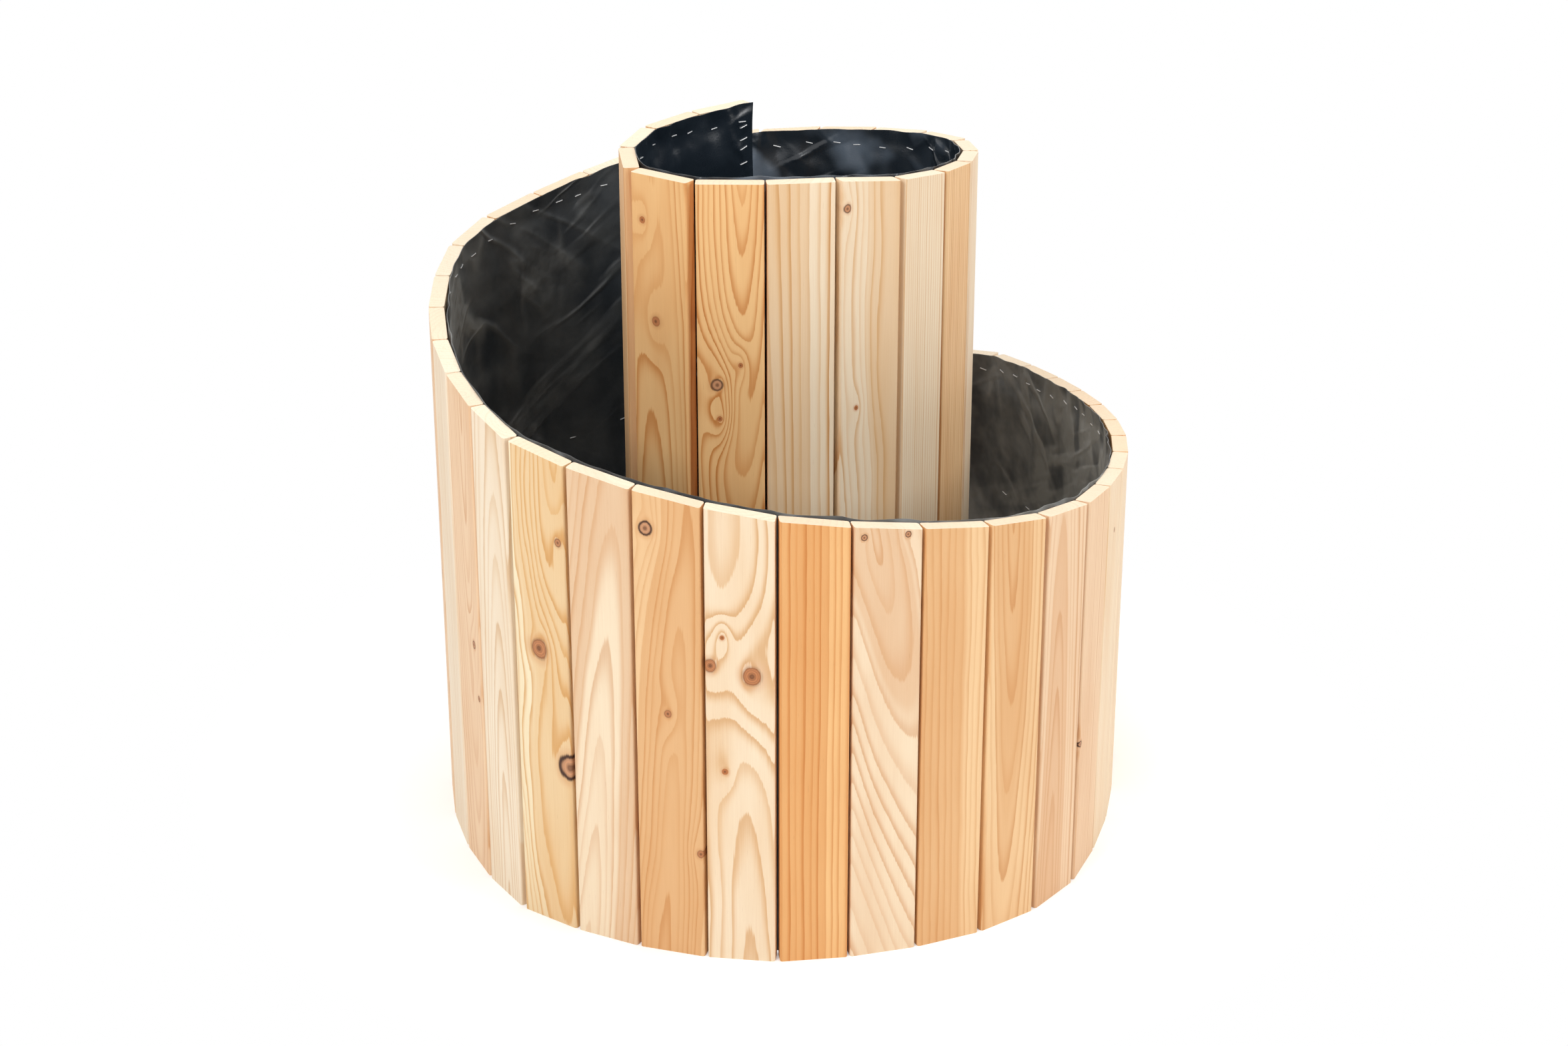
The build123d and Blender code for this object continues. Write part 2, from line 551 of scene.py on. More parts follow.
class Wall:
    """The chain of boards, measured on the CAD nodes."""

    def __init__(self) -> None:
        """Measures every board and puts the chain in order."""
        names = sorted(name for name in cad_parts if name.startswith("stave_"))
        rough = [self._footprint(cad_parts[name]) for name in names]
        self.boards: list[Board] = []
        for index, (name, (middle, axis, width, thickness)) in enumerate(zip(names, rough)):
            ahead = rough[index + 1][0] - middle if index + 1 < len(rough) else middle - rough[index - 1][0]
            along = axis if axis.dot(ahead) > 0 else -axis
            self.boards.append(Board(index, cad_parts[name], middle, along, width, thickness))
        for board in self.boards:
            self._measure_top(board)

    @staticmethod
    def _footprint(node: bpy.types.Object) -> tuple[Vector, Vector, float, float]:
        """A board's middle, long axis, width and thickness, from its lower end.

        Args:
            node: The board's CAD object.

        Returns:
            The middle, the axis along the width, the width and the thickness.
        """
        floor = min(vertex.co.z for vertex in node.data.vertices)
        foot = {(round(v.co.x, 6), round(v.co.y, 6)) for v in node.data.vertices if v.co.z < floor + 0.0005}
        _, _, angle = long_axis(foot)
        axis = Vector((math.cos(angle), math.sin(angle), 0.0))
        side = Vector((-axis.y, axis.x, 0.0))
        us = [x * axis.x + y * axis.y for x, y in foot]
        vs = [x * side.x + y * side.y for x, y in foot]
        middle = axis * ((min(us) + max(us)) / 2) + side * ((min(vs) + max(vs)) / 2)
        return middle, axis, max(us) - min(us), max(vs) - min(vs)

    @staticmethod
    def _measure_top(board: Board) -> None:
        """Reads the height of a board's slanted top at its two edges."""
        half = board.width / 2
        places = [((v.co - board.middle).dot(board.along), v.co.z) for v in board.node.data.vertices]
        board.top_start = max(z for u, z in places if u < -half * 0.9)
        board.top_end = max(z for u, z in places if u > half * 0.9)

    @property
    def count(self) -> int:
        """How many boards there are."""
        return len(self.boards)

    def point(self, place: float) -> Vector:
        """A point on the film side of the wall, at the floor.

        Args:
            place: How far along the wall it is, in boards from the tall end.

        Returns:
            The point.
        """
        index = min(max(int(place), 0), self.count - 1)
        board = self.boards[index]
        return board.joint + board.along * ((place - index) * (board.width + BOARD_GAP))

    def top(self, place: float) -> float:
        """The height of the boards' top at a place along the wall."""
        index = min(max(int(place), 0), self.count - 1)
        board = self.boards[index]
        share = min(max(place - index, 0.0), 1.0)
        return board.top_start + (board.top_end - board.top_start) * share


class BoardFinish:
    """Planed larch on every board, each with its own cut from the log."""

    SEED = 11
    SEED_STEP = 3.7
    GRAIN_DEPTH = 0.00035
    GRAIN_SHOWS = 0.55

    def __init__(self, wall: Wall) -> None:
        """Keeps the wall and builds the shared grain.

        Args:
            wall: The wall whose boards are dressed.
        """
        self.wall = wall
        self.grain = LarchGrain()

    def dress(self) -> None:
        """Gives each board its own material."""
        for board in self.wall.boards:
            figure = SEEN_BOARDS.get(board.index) or self._unseen(board.index)
            material = self._material(board, figure)
            slots = board.node.data.materials
            if len(slots) == 0:
                slots.append(material)
            for place in range(len(slots)):
                slots[place] = material
            LOG.info("%s: %s larch, %d knots", board.node.name, figure.tone.name.lower(), len(figure.knots))

    def _unseen(self, index: int) -> Figure:
        """A plausible cut for a board that the photograph doesn't show."""
        chance = random.Random(self.SEED * 1000 + index)
        flat = chance.random() < 0.5
        knots = tuple(
            Knot(chance.uniform(-0.03, 0.03), chance.uniform(0.08, 0.85), chance.uniform(0.003, 0.008),
                 chance.uniform(0.0, 0.012), chance.uniform(0.2, 0.8))
            for _ in range(chance.choice((0, 0, 1, 1, 2)))
        )
        return Figure(
            tone=chance.choice((Tone.CREAM, Tone.PEACH, Tone.ROSE, Tone.PEACH, Tone.AMBER, Tone.IVORY)),
            pith_across=(chance.uniform(-0.015, 0.015) if flat
                         else chance.choice((-1, 1)) * chance.uniform(0.06, 0.12)),
            pith_depth=chance.uniform(0.01, 0.04),
            lean=chance.uniform(-0.09, 0.09) if flat else chance.uniform(-0.03, 0.03),
            drift=chance.uniform(-0.03, 0.03),
            ring=chance.uniform(0.0045, 0.0075),
            wander=chance.uniform(0.004, 0.011),
            contrast=chance.uniform(0.55, 0.8),
            knots=knots,
        )

    def _material(self, board: Board, figure: Figure) -> bpy.types.Material:
        """The material of one board.

        Args:
            board: The board.
            figure: How it was cut.

        Returns:
            The material.
        """
        material, bench, shader = new_material(f"larch_{board.index + 1:02d}")
        mapping = bench.node("ShaderNodeMapping")
        mapping.vector_type = "TEXTURE"
        bench.fill(mapping, {"Vector": bench.node("ShaderNodeTexCoord").outputs["Object"],
                             "Location": board.face_middle, "Rotation": (0.0, 0.0, board.heading)})
        numbers = (figure.pith_across, figure.pith_depth, figure.lean, figure.drift, figure.ring,
                   figure.wander, figure.contrast, figure.heart, board.index * self.SEED_STEP)
        given = dict(zip(LarchGrain.NUMBERS, numbers))
        given["Place"] = mapping.outputs["Vector"]
        given["Earlywood"], given["Latewood"] = (rgba(colour) for colour in figure.tone.value)
        knots = (figure.knots + (NO_KNOT,) * KNOT_PLACES)[:KNOT_PLACES]
        for number, knot in enumerate(knots, start=1):
            given[f"Knot {number}"] = (knot.across, knot.height, knot.radius)
            given[f"Swirl {number}"] = knot.swirl
            given[f"Bark {number}"] = knot.bark
        grain = bench.node("ShaderNodeGroup")
        grain.node_tree = self.grain.tree
        bench.fill(grain, given)
        shader.inputs["Specular IOR Level"].default_value = 0.32
        normal = bench.bump(grain.outputs["Height"], self.GRAIN_DEPTH, self.GRAIN_SHOWS)
        bench.fill(shader, {"Base Color": grain.outputs["Colour"], "Roughness": grain.outputs["Roughness"],
                            "Normal": normal})
        return material


SEEN_BOARDS: dict[int, Figure] = {
    3: Figure(Tone.TAN, 0.09, 0.020, 0.0, 0.0, 0.0045, 0.004, 0.75),
    4: Figure(Tone.AMBER, -0.018, 0.020, 0.04, 0.0, 0.0064, 0.012, 0.7,
              knots=(Knot(-0.026, 0.893, 0.005, 0.014, 0.0), Knot(-0.007, 0.756, 0.0065, 0.012, 0.15))),
    5: Figure(Tone.AMBER, 0.013, 0.092, -0.090, 0.0, 0.0064, 0.008, 0.9,
              knots=(Knot(-0.018, 0.679, 0.0075, 0.022, 0.8), Knot(0.013, 0.707, 0.003, 0.012, 0.0),
                     Knot(-0.015, 0.631, 0.004, 0.016, 0.0))),
    6: Figure(Tone.CREAM, -0.055, 0.020, 0.02, 0.004, 0.0100, 0.006, 0.95, 0.070),
    7: Figure(Tone.CREAM, 0.050, 0.030, 0.0, -0.02, 0.0090, 0.014, 0.7, 0.045,
              knots=(Knot(-0.037, 0.917, 0.0045, 0.008, 0.7), Knot(-0.021, 0.637, 0.003, 0.010, 0.0))),
    8: Figure(Tone.CREAM, -0.090, 0.020, 0.0, 0.0, 0.0050, 0.004, 0.7),
    9: Figure(Tone.PEACH, -0.10, 0.020, 0.0, 0.0, 0.0056, 0.003, 0.9),
    10: Figure(Tone.BLUSH, 0.08, 0.020, 0.0, 0.0, 0.0060, 0.004, 0.5),
    21: Figure(Tone.CREAM, 0.07, 0.020, 0.02, 0.0, 0.0065, 0.006, 0.55),
    22: Figure(Tone.IVORY, -0.06, 0.020, 0.02, 0.0, 0.0065, 0.006, 0.55),
    23: Figure(Tone.CREAM, -0.07, 0.020, 0.0, 0.0, 0.0065, 0.006, 0.5),
    24: Figure(Tone.ROSE, 0.03, 0.020, 0.04, 0.0, 0.0065, 0.009, 0.6,
               knots=(Knot(0.005, 0.36, 0.006, 0.008, 0.5),)),
    25: Figure(Tone.IVORY, -0.07, 0.030, 0.0, 0.0, 0.0065, 0.006, 0.6),
    26: Figure(Tone.ROSE, 0.01, 0.045, -0.06, 0.0, 0.0062, 0.009, 0.55,
               knots=(Knot(0.0217, 0.344, 0.0045, 0.008, 0.7), Knot(0.033, 0.268, 0.0035, 0.006, 0.6))),
    27: Figure(Tone.IVORY, 0.010, 0.004, 0.055, 0.0, 0.0070, 0.007, 0.65),
    28: Figure(Tone.GOLD, 0.035, 0.068, -0.085, 0.0, 0.0076, 0.018, 0.70, 0.072,
               knots=(Knot(0.0335, 0.562, 0.005, 0.010, 0.5), Knot(-0.004, 0.403, 0.012, 0.020, 0.35),
                      Knot(0.042, 0.242, 0.014, 0.014, 1.0))),
    29: Figure(Tone.BLUSH, -0.030, 0.004, 0.062, 0.085, 0.0086, 0.008, 0.48, -0.038),
    30: Figure(Tone.PEACH, -0.010, 0.008, 0.035, 0.055, 0.0068, 0.009, 0.6, 0.050,
               knots=(Knot(-0.027, 0.607, 0.0080, 0.012, 0.95), Knot(-0.001, 0.352, 0.0048, 0.008, 0.3),
                      Knot(0.041, 0.154, 0.0048, 0.006, 0.3))),
    31: Figure(Tone.CREAM, 0.010, 0.050, 0.02, -0.05, 0.0080, 0.013, 0.85, 0.048,
               knots=(Knot(0.0154, 0.416, 0.012, 0.030, 0.25), Knot(-0.0375, 0.428, 0.0075, 0.018, 0.3),
                      Knot(-0.022, 0.468, 0.003, 0.014, 0.0), Knot(-0.020, 0.278, 0.004, 0.010, 0.0))),
    32: Figure(Tone.AMBER, -0.065, 0.030, 0.0, 0.0, 0.0080, 0.006, 0.75, 0.085),
    33: Figure(Tone.BLUSH, 0.106, 0.096, -0.160, -0.21, 0.0125, 0.008, 0.55, 0.040,
               knots=(Knot(-0.032, 0.602, 0.0035, 0.005, 0.8), Knot(0.025, 0.600, 0.0035, 0.005, 0.8))),
    34: Figure(Tone.PEACH, -0.075, 0.030, 0.0, 0.0, 0.0085, 0.014, 0.55, 0.095),
    35: Figure(Tone.PEACH, -0.010, 0.036, -0.055, 0.0, 0.0070, 0.010, 0.65, 0.030),
    36: Figure(Tone.ROSE, -0.014, 0.004, 0.045, 0.0, 0.0066, 0.006, 0.65, 0.030),
    37: Figure(Tone.ROSE, 0.06, 0.020, 0.02, 0.0, 0.0060, 0.006, 0.6,
               knots=(Knot(-0.041, 0.209, 0.0040, 0.006, 1.0),)),
    38: Figure(Tone.CREAM, 0.06, 0.020, 0.02, 0.0, 0.0058, 0.006, 0.6,
               knots=(Knot(0.0, 0.469, 0.0025, 0.004, 0.9),)),
    39: Figure(Tone.CREAM, 0.06, 0.020, 0.0, 0.0, 0.0058, 0.006, 0.6),
}


class FilmFinish:
    """Black pond-liner film: glossy and clean inside the tall coil, with painted sheen patches high up
    there; dusty and creased further out, with painted sheen near the left and painted light that grows
    further along.
    """

    # Where the painted sheen patches inside the coil begin along the film, in metres.
    PAINTED_SHEEN_STARTS = (0.25, 0.60)
    DUST_STARTS = (1.50, 1.72)
    # Where the dusting grows along the film; the growth is partly painted light, drawing the film lighter
    # further along.
    DUST_AND_PAINTED_LIGHT_GROWS = (2.60, 3.60)
    # Where painted sheen lightens the film near the left, drawn in the same grey as the dusting.
    SHEEN_AT_LEFT = (1.88, 2.06, 2.16, 2.38)
    CREASE_DEPTH = 0.016
    CREASE_SHOWS = 0.75
    FOLDS = ((0.62, 3.2, 13.0), (-0.48, 2.6, 17.0), (1.35, 4.0, 9.0))
    BLACK_INSIDE = rgba((30, 38, 46))
    BLACK_OUTSIDE = rgba((34, 40, 46))
    # The colour of the painted sheen patches inside the coil.
    PAINTED_SHEEN_COLOUR = rgba((112, 124, 138))
    # The grey of the dusting, also used for the painted sheen and the painted light.
    DUST_AND_PAINTED_LIGHT_GREY = rgba((130, 132, 130))

    def material(self) -> bpy.types.Material:
        """The film's material, which reads the film's own flat coordinates in metres."""
        material, bench, shader = new_material("liner_film")
        along, height, _ = bench.split(bench.node("ShaderNodeTexCoord").outputs["UV"])
        flat = bench.join(along, height, 0.0)
        outside = along.step(*self.DUST_STARTS)
        begins, full, wanes, ends = self.SHEEN_AT_LEFT
        # Painted sheen: a band of the film near the left drawn lighter.
        left = along.step(begins, full) * along.step(wanes, ends, 1.0, 0.0)
        ridges = self._folds(bench, along, height)
        smudge = bench.noise(flat, 7.0, 4.0, 0.62)
        soft = bench.noise(bench.join(along * 9.0, height * 11.0, 0.0), 1.0, 2.0, 0.5, 2.0)
        fine = bench.noise(flat, 420.0, 2.0, 0.5)

        # Real dusting in smudges and creases, times painted light that grows further along, plus painted
        # sheen near the left.
        dust_and_painted_light = smudge.step(0.34, 0.66, 0.06, 0.66) + ridges * 1.05
        dust_and_painted_light = dust_and_painted_light * outside * (along.step(*self.DUST_AND_PAINTED_LIGHT_GROWS, 0.32, 1.40) + left * 1.1)
        # Painted sheen: lighter patches high up on the film inside the coil, drawn into its colour in place
        # of a reflection.
        painted_sheen = soft.step(0.48, 0.66) * along.step(*self.PAINTED_SHEEN_STARTS) * height.step(0.50, 0.78) * 0.80
        # The black film with the painted sheen patches, before any dusting.
        clean = bench.mix(painted_sheen, self.BLACK_INSIDE, self.PAINTED_SHEEN_COLOUR)
        clean = bench.mix(outside, clean, self.BLACK_OUTSIDE)
        relief = soft * 1.1 + ridges * 0.26 + fine * 0.012
        shader.inputs["Specular IOR Level"].default_value = 0.62
        bench.fill(shader, {"Base Color": bench.mix(dust_and_painted_light.at_most(1.0), clean, self.DUST_AND_PAINTED_LIGHT_GREY),
                            "Roughness": outside * 0.22 + dust_and_painted_light * 0.12 + 0.23,
                            "Normal": bench.bump(relief, self.CREASE_DEPTH, self.CREASE_SHOWS)})
        return material

    def _folds(self, bench: Bench, along: Signal, height: Signal) -> Signal:
        """Long thin creases that cross the film in three directions.

        Args:
            bench: Where the nodes are added.
            along: The distance along the film.
            height: The height on it.

        Returns:
            The creases, from 0 to about 1.
        """
        total: Signal | None = None
        for number, (turn, slow, quick) in enumerate(self.FOLDS):
            down = along * math.cos(turn) + height * math.sin(turn)
            across = height * math.cos(turn) - along * math.sin(turn)
            wave = bench.noise(bench.join(down * slow, across * quick, 0.0), 1.0, 2.0, 0.45, 3.0 + number)
            thin = (wave - 0.5).size().step(0.0, 0.075, 1.0, 0.0)
            here = bench.noise(bench.join(along * 5.0, height * 5.0, 0.0), 1.0, 1.0, 0.5, 8.0 + number)
            patchy = bench.noise(bench.join(along * 30.0, height * 30.0, 0.0), 1.0).step(0.2, 0.8, 0.4, 1.0)
            crease = thin.power(1.6) * here.step(0.42, 0.66) * patchy
            total = crease if total is None else total + crease
        return total


@dataclass
class LinerFilm:
    """The liner film, made as a thin sheet that follows the hollow side of the wall.

    Args:
        wall: The wall that it is stapled to.
        pins: The staples' places: (place along the wall, height).
        thickness: The film's thickness.
        standoff: The distance from the wood to the film where it is stapled.
        soften: How far, in boards, the film cuts each corner.
        proud: How far its edge stands above the boards.
        foot: Where its lower edge is.
        bulge: How far it bellies between staples.
        rows: How many cells it has in its height.
        columns: How many cells it has on each board.
        cells: The staples' places by board number.
    """

    wall: Wall
    pins: list[tuple[float, float]]
    thickness: float = 0.0008
    standoff: float = 0.0002
    soften: float = 0.13
    proud: float = 0.0018
    foot: float = 0.004
    bulge: float = 0.0095
    rows: int = 56
    columns: int = 12
    cells: dict[int, list[tuple[float, float]]] = field(default_factory=dict)

    CORNER_TAPS = 9
    PITCH = 0.09
    PIN_REACH = 0.016
    ROW_CROWDING = 0.8
    EDGE_WAVE = 0.0022

    def build(self) -> list[bpy.types.Object]:
        """Builds the sheet's three stretches.

        Returns:
            The stretches, from the tall end to the low end.
        """
        for place, height in self.pins:
            self.cells.setdefault(int(place), []).append((place, height))
        last = self.wall.count
        finish = FilmFinish().material()
        runs = (("film_tall_end", 0.0, 1.5, Held.OVER_TALL_HINGE),
                ("film_wall", 1.5, last - 1.5, Held.BY_WALL),
                ("film_low_end", last - 1.5, float(last), Held.OVER_LOW_HINGE))
        return [self._stretch(name, start, end, held, finish) for name, start, end, held in runs]

    def _foot_point(self, place: float) -> tuple[Vector, Vector]:
        """The film's line at the floor, softened at the corners, and the direction inwards."""
        end = self.wall.count - 0.0001
        total = Vector((0.0, 0.0, 0.0))
        for tap in range(self.CORNER_TAPS):
            shift = (tap / (self.CORNER_TAPS - 1) - 0.5) * 2 * self.soften
            total += self.wall.point(min(max(place + shift, 0.0), end))
        ahead = self.wall.point(min(place + self.soften, end))
        behind = self.wall.point(max(place - self.soften, 0.0))
        along = (ahead - behind).normalized()
        middle = total / self.CORNER_TAPS
        if place < self.soften or place > self.wall.count - self.soften:
            middle = self.wall.point(min(place, end))
        return middle, Vector((-along.y, along.x, 0.0))

    def _slack(self, place: float, height: float) -> float:
        """How free the film is at a point: 0 at a staple, towards 1 away from all."""
        free = 1.0
        for index in (int(place) - 1, int(place), int(place) + 1):
            for pin_place, pin_height in self.cells.get(index, ()):
                sideways = (place - pin_place) * self.PITCH
                gap = (sideways * sideways + (height - pin_height) ** 2 * 0.5) / self.PIN_REACH ** 2
                free *= 1.0 - math.exp(-gap)
        return free

    def _belly(self, place: float, height: float) -> float:
        """How far the film stands off the wood at a point, in metres."""
        wave = noise.noise(Vector((place * 0.55, height * 2.4, 3.0)))
        flute = noise.noise(Vector((place * 1.9, height * 1.1, 9.0)))
        crease = abs(noise.noise(Vector((place * 1.3 + height * 1.6, height * 2.2, 17.0))))
        amount = 0.35 + 0.9 * wave + 0.6 * flute + 0.5 * (0.35 - crease)
        return max(0.0, amount) * self.bulge * self._slack(place, height)

    def _stretch(self, name: str, start: float, end: float, held: Held,
                 finish: bpy.types.Material) -> bpy.types.Object:
        """One stretch of film.

        Args:
            name: The piece's name.
            start: Where it begins, in boards.
            end: Where it ends.
            held: Which stretch it is; only the wall's stretch is attached to a body.
            finish: Its material.

        Returns:
            The piece.
        """
        steps = round((end - start) * self.columns)
        mesh = bpy.data.meshes.new(name)
        work = bmesh.new()
        flat = work.loops.layers.uv.new("flat")
        pitch = self.wall.boards[0].width + BOARD_GAP
        places: dict[bmesh.types.BMVert, tuple[float, float]] = {}
        sheet = []
        area = 0.0
        for column in range(steps + 1):
            place = start + (end - start) * column / steps
            line, inward = self._foot_point(place)
            ripple = self.EDGE_WAVE * noise.noise(Vector((place * 2.3, 0.0, 5.0)))
            edge = self.wall.top(place) + self.proud + ripple
            area += (edge - self.foot) * (1.0 if 0 < column < steps else 0.5)
            stack = []
            for row in range(self.rows + 1):
                height = self.foot + (edge - self.foot) * (row / self.rows) ** self.ROW_CROWDING
                near = line + inward * (self.standoff + self._belly(place, height))
                vertex = work.verts.new((near.x, near.y, height))
                places[vertex] = (place * pitch, height)
                stack.append(vertex)
            sheet.append(stack)
        for left, right in zip(sheet, sheet[1:]):
            for row in range(self.rows):
                work.faces.new((left[row], left[row + 1], right[row + 1], right[row]))
        for edge_line in work.edges:
            edge_line.smooth = not edge_line.is_boundary
        for face in work.faces:
            for loop in face.loops:
                loop[flat].uv = places[loop.vert]
        work.to_mesh(mesh)
        work.free()
        for polygon in mesh.polygons:
            polygon.use_smooth = True
        piece = add_object(name, mesh)
        mesh.materials.append(finish)
        solid = piece.modifiers.new("thickness", "SOLIDIFY")
        solid.thickness = self.thickness
        solid.offset = -1.0
        solid.use_rim = True
        length = (end - start) * pitch
        self._hold(piece, held, (self.wall.top(start) + 0.002, length), area * length / steps)
        LOG.info("%s: %.3f m long, %.3f square metres", name, length, area * length / steps)
        return piece

    def _hold(self, piece: bpy.types.Object, held: Held, flat: tuple[float, float], area: float) -> None:
        """Attaches the wall's stretch of film to the wall's body, bakes an end stretch's place into its
        mesh, and hides the CAD liner node that the stretch stands in for.
        """
        boards = self.wall.boards
        nodes = {Held.BY_WALL: "liner", Held.OVER_TALL_HINGE: "liner_tall_end",
                 Held.OVER_LOW_HINGE: "liner_low_end"}
        if held is Held.OVER_TALL_HINGE:
            turn = boards[1].joint
            tuple(turn - boards[1].along * 0.006)
            tuple(turn + boards[1].along * 0.006)
            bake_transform(piece)
        elif held is Held.OVER_LOW_HINGE:
            turn = boards[-1].joint
            tuple(turn - boards[-2].along * 0.006)
            tuple(turn + boards[-2].along * 0.006)
            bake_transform(piece)
        else:
            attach(piece, "wall")
        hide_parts(nodes[held])
        min(area, flat[0] * flat[1])


class StapleFinish:
    """Bright zinc wire."""

    BRIGHT = rgba((250, 250, 250))
    DULL = rgba((222, 224, 226))

    def material(self) -> bpy.types.Material:
        """The staples' material."""
        material, bench, shader = new_material("staple_wire")
        place = bench.signal(bench.node("ShaderNodeTexCoord").outputs["Object"])
        tarnish = bench.noise(place, 900.0, 2.0, 0.5)
        shader.inputs["Metallic"].default_value = 0.25
        bench.fill(shader, {"Base Color": bench.mix(tarnish.step(0.4, 0.7), self.BRIGHT, self.DULL),
                            "Roughness": tarnish.step(0.3, 0.8, 0.28, 0.42)})
        return material


@dataclass(frozen=True)
class Spot:
    """Where one staple sits.

    Args:
        crown: The middle of its crown.
        tilt: Its turn in the board's face, in radians.
        place: Its place along the wall, in boards.
        board: The board that it is driven into.
        height: Its height above the floor.
    """

    crown: Vector
    tilt: float
    place: float
    board: Board
    height: float


@dataclass
class Staples:
    """The wire staples, set by one Geometry Nodes tree for each body.

    Args:
        wall: The wall that they hold the film to.
        crown: The crown's outer width.
        wire: The wire's width across the crown.
        height: The wire's height.
        leg: The legs' length from the film inwards to the wood.
    """

    wall: Wall
    crown: float = 0.0128
    wire: float = 0.0012
    height: float = 0.0008
    leg: float = 0.0105

    BODIES = {"staples_tall_end": "tall_end", "staples": "wall", "staples_low_end": "low_end"}
    SIZES = ("Crown", "Wire", "Height", "Leg")
    WELD = 0.0001
    BEND_RADIUS = 0.0010
    BEND_STEPS = 3

    def places(self, node_name: str) -> list[Spot]:
        """Reads each staple's place from the CAD node that holds it.

        Args:
            node_name: The CAD node.

        Returns:
            The staples' places.
        """
        work = bmesh.new()
        work.from_mesh(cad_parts[node_name].data)
        bmesh.ops.remove_doubles(work, verts=work.verts, dist=0.00001)
        reached = set()
        found = []
        for first in work.verts:
            if first in reached:
                continue
            reached.add(first)
            group, edge = [], [first]
            while edge:
                vertex = edge.pop()
                group.append(vertex.co.copy())
                for link in vertex.link_edges:
                    other = link.other_vert(vertex)
                    if other not in reached:
                        reached.add(other)
                        edge.append(other)
            found.append(self._measure(group))
        work.free()
        return found

    def _measure(self, group: list[Vector]) -> Spot:
        """One staple's place, from the points of its solid."""
        middle = sum(group, Vector()) / len(group)
        middle.z = 0.0
        board = min(self.wall.boards, key=lambda item: (item.middle - middle).length)
        depths = [(point - board.joint).dot(board.inward) for point in group]
        crown = [point for point, depth in zip(group, depths) if depth > max(depths) - 0.0002]
        local = [((point - board.joint).dot(board.along), point.z) for point in crown]
        along, height, tilt = long_axis(local)
        seat = board.joint + board.along * along + board.inward * (max(depths) - self.height)
        place = board.index + along / (board.width + BOARD_GAP)
        return Spot(Vector((seat.x, seat.y, height)), tilt, place, board, height)

    def build(self) -> list[bpy.types.Object]:
        """Builds the staples of each body.

        Returns:
            The three pieces.
        """
        tree = self._tree(StapleFinish().material())
        pieces = []
        for node_name, body in self.BODIES.items():
            spots = self.places(node_name)
            mesh = bpy.data.meshes.new(f"spots_{node_name}")
            mesh.from_pydata([tuple(spot.crown) for spot in spots], [], [])
            turn = mesh.attributes.new("turn", "FLOAT_VECTOR", "POINT")
            for number, spot in enumerate(spots):
                turn.data[number].vector = (spot.tilt, 0.0, spot.board.heading)
            piece = self._realise(add_object(f"seeds_{node_name}", mesh), tree, f"wire_{node_name}")
            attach(piece, body)
            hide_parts(node_name)
            pieces.append(piece)
            LOG.info("%s: %d staples", piece.name, len(spots))
        return pieces

    def _tree(self, finish: bpy.types.Material) -> bpy.types.NodeTree:
        """The Geometry Nodes tree that sets a staple on each point.

        Args:
            finish: The staples' material.

        Returns:
            The tree, with the wire's sizes as named inputs.
        """
        tree = bpy.data.node_groups.new("set_staples", "GeometryNodeTree")
        declare(tree, "INPUT", [("Geometry", "Geometry"), *((name, "Float") for name in self.SIZES)])
        declare(tree, "OUTPUT", [("Geometry", "Geometry")])
        bench = Bench(tree)
        entry, leave = bench.node("NodeGroupInput"), bench.node("NodeGroupOutput")
        crown, wire, height, leg = (bench.signal(entry.outputs[name]) for name in self.SIZES)

        half, rise, sink = (crown - wire) * 0.5, height * 0.5, leg * -1.0
        corners = [bench.join(x, z, 0.0) for x, z in ((half * -1.0, sink), (half * -1.0, rise),
                                                      (half, rise), (half, sink))]
        lines = bench.node("GeometryNodeJoinGeometry")
        for start, end in zip(corners, corners[1:]):
            line = bench.node("GeometryNodeCurvePrimitiveLine", {"Start": start, "End": end})
            bench.fill(lines, {0: bench.node("GeometryNodeCurveToMesh", {0: line.outputs[0]}).outputs[0]})
        weld = bench.node("GeometryNodeMergeByDistance", {0: lines.outputs[0], "Distance": self.WELD})
        path = bench.node("GeometryNodeMeshToCurve", {0: weld.outputs[0]})
        bend = bench.node("GeometryNodeFilletCurve")
        bend.mode = "POLY"
        bench.fill(bend, {"Curve": path.outputs[0], "Count": self.BEND_STEPS, "Radius": self.BEND_RADIUS})
        profile = bench.node("GeometryNodeCurvePrimitiveQuadrilateral", {"Width": height, "Height": wire})
        strand = bench.node("GeometryNodeCurveToMesh", {"Curve": bend.outputs[0], "Fill Caps": True,
                                                        "Profile Curve": profile.outputs[0]})

        turn = bench.node("GeometryNodeInputNamedAttribute")
        turn.data_type = "FLOAT_VECTOR"
        bench.fill(turn, {"Name": "turn"})
        tilt, _, heading = bench.split(turn.outputs["Attribute"])
        place = bench.node("GeometryNodeInstanceOnPoints", {
            "Points": entry.outputs["Geometry"], "Instance": strand.outputs[0],
            "Rotation": bench.join(0.0, tilt * -1.0, heading)})
        real = bench.node("GeometryNodeRealizeInstances", {0: place.outputs[0]})
        dress = bench.node("GeometryNodeSetMaterial", {0: real.outputs[0], "Material": finish})
        bench.fill(leave, {0: dress.outputs[0]})
        return tree

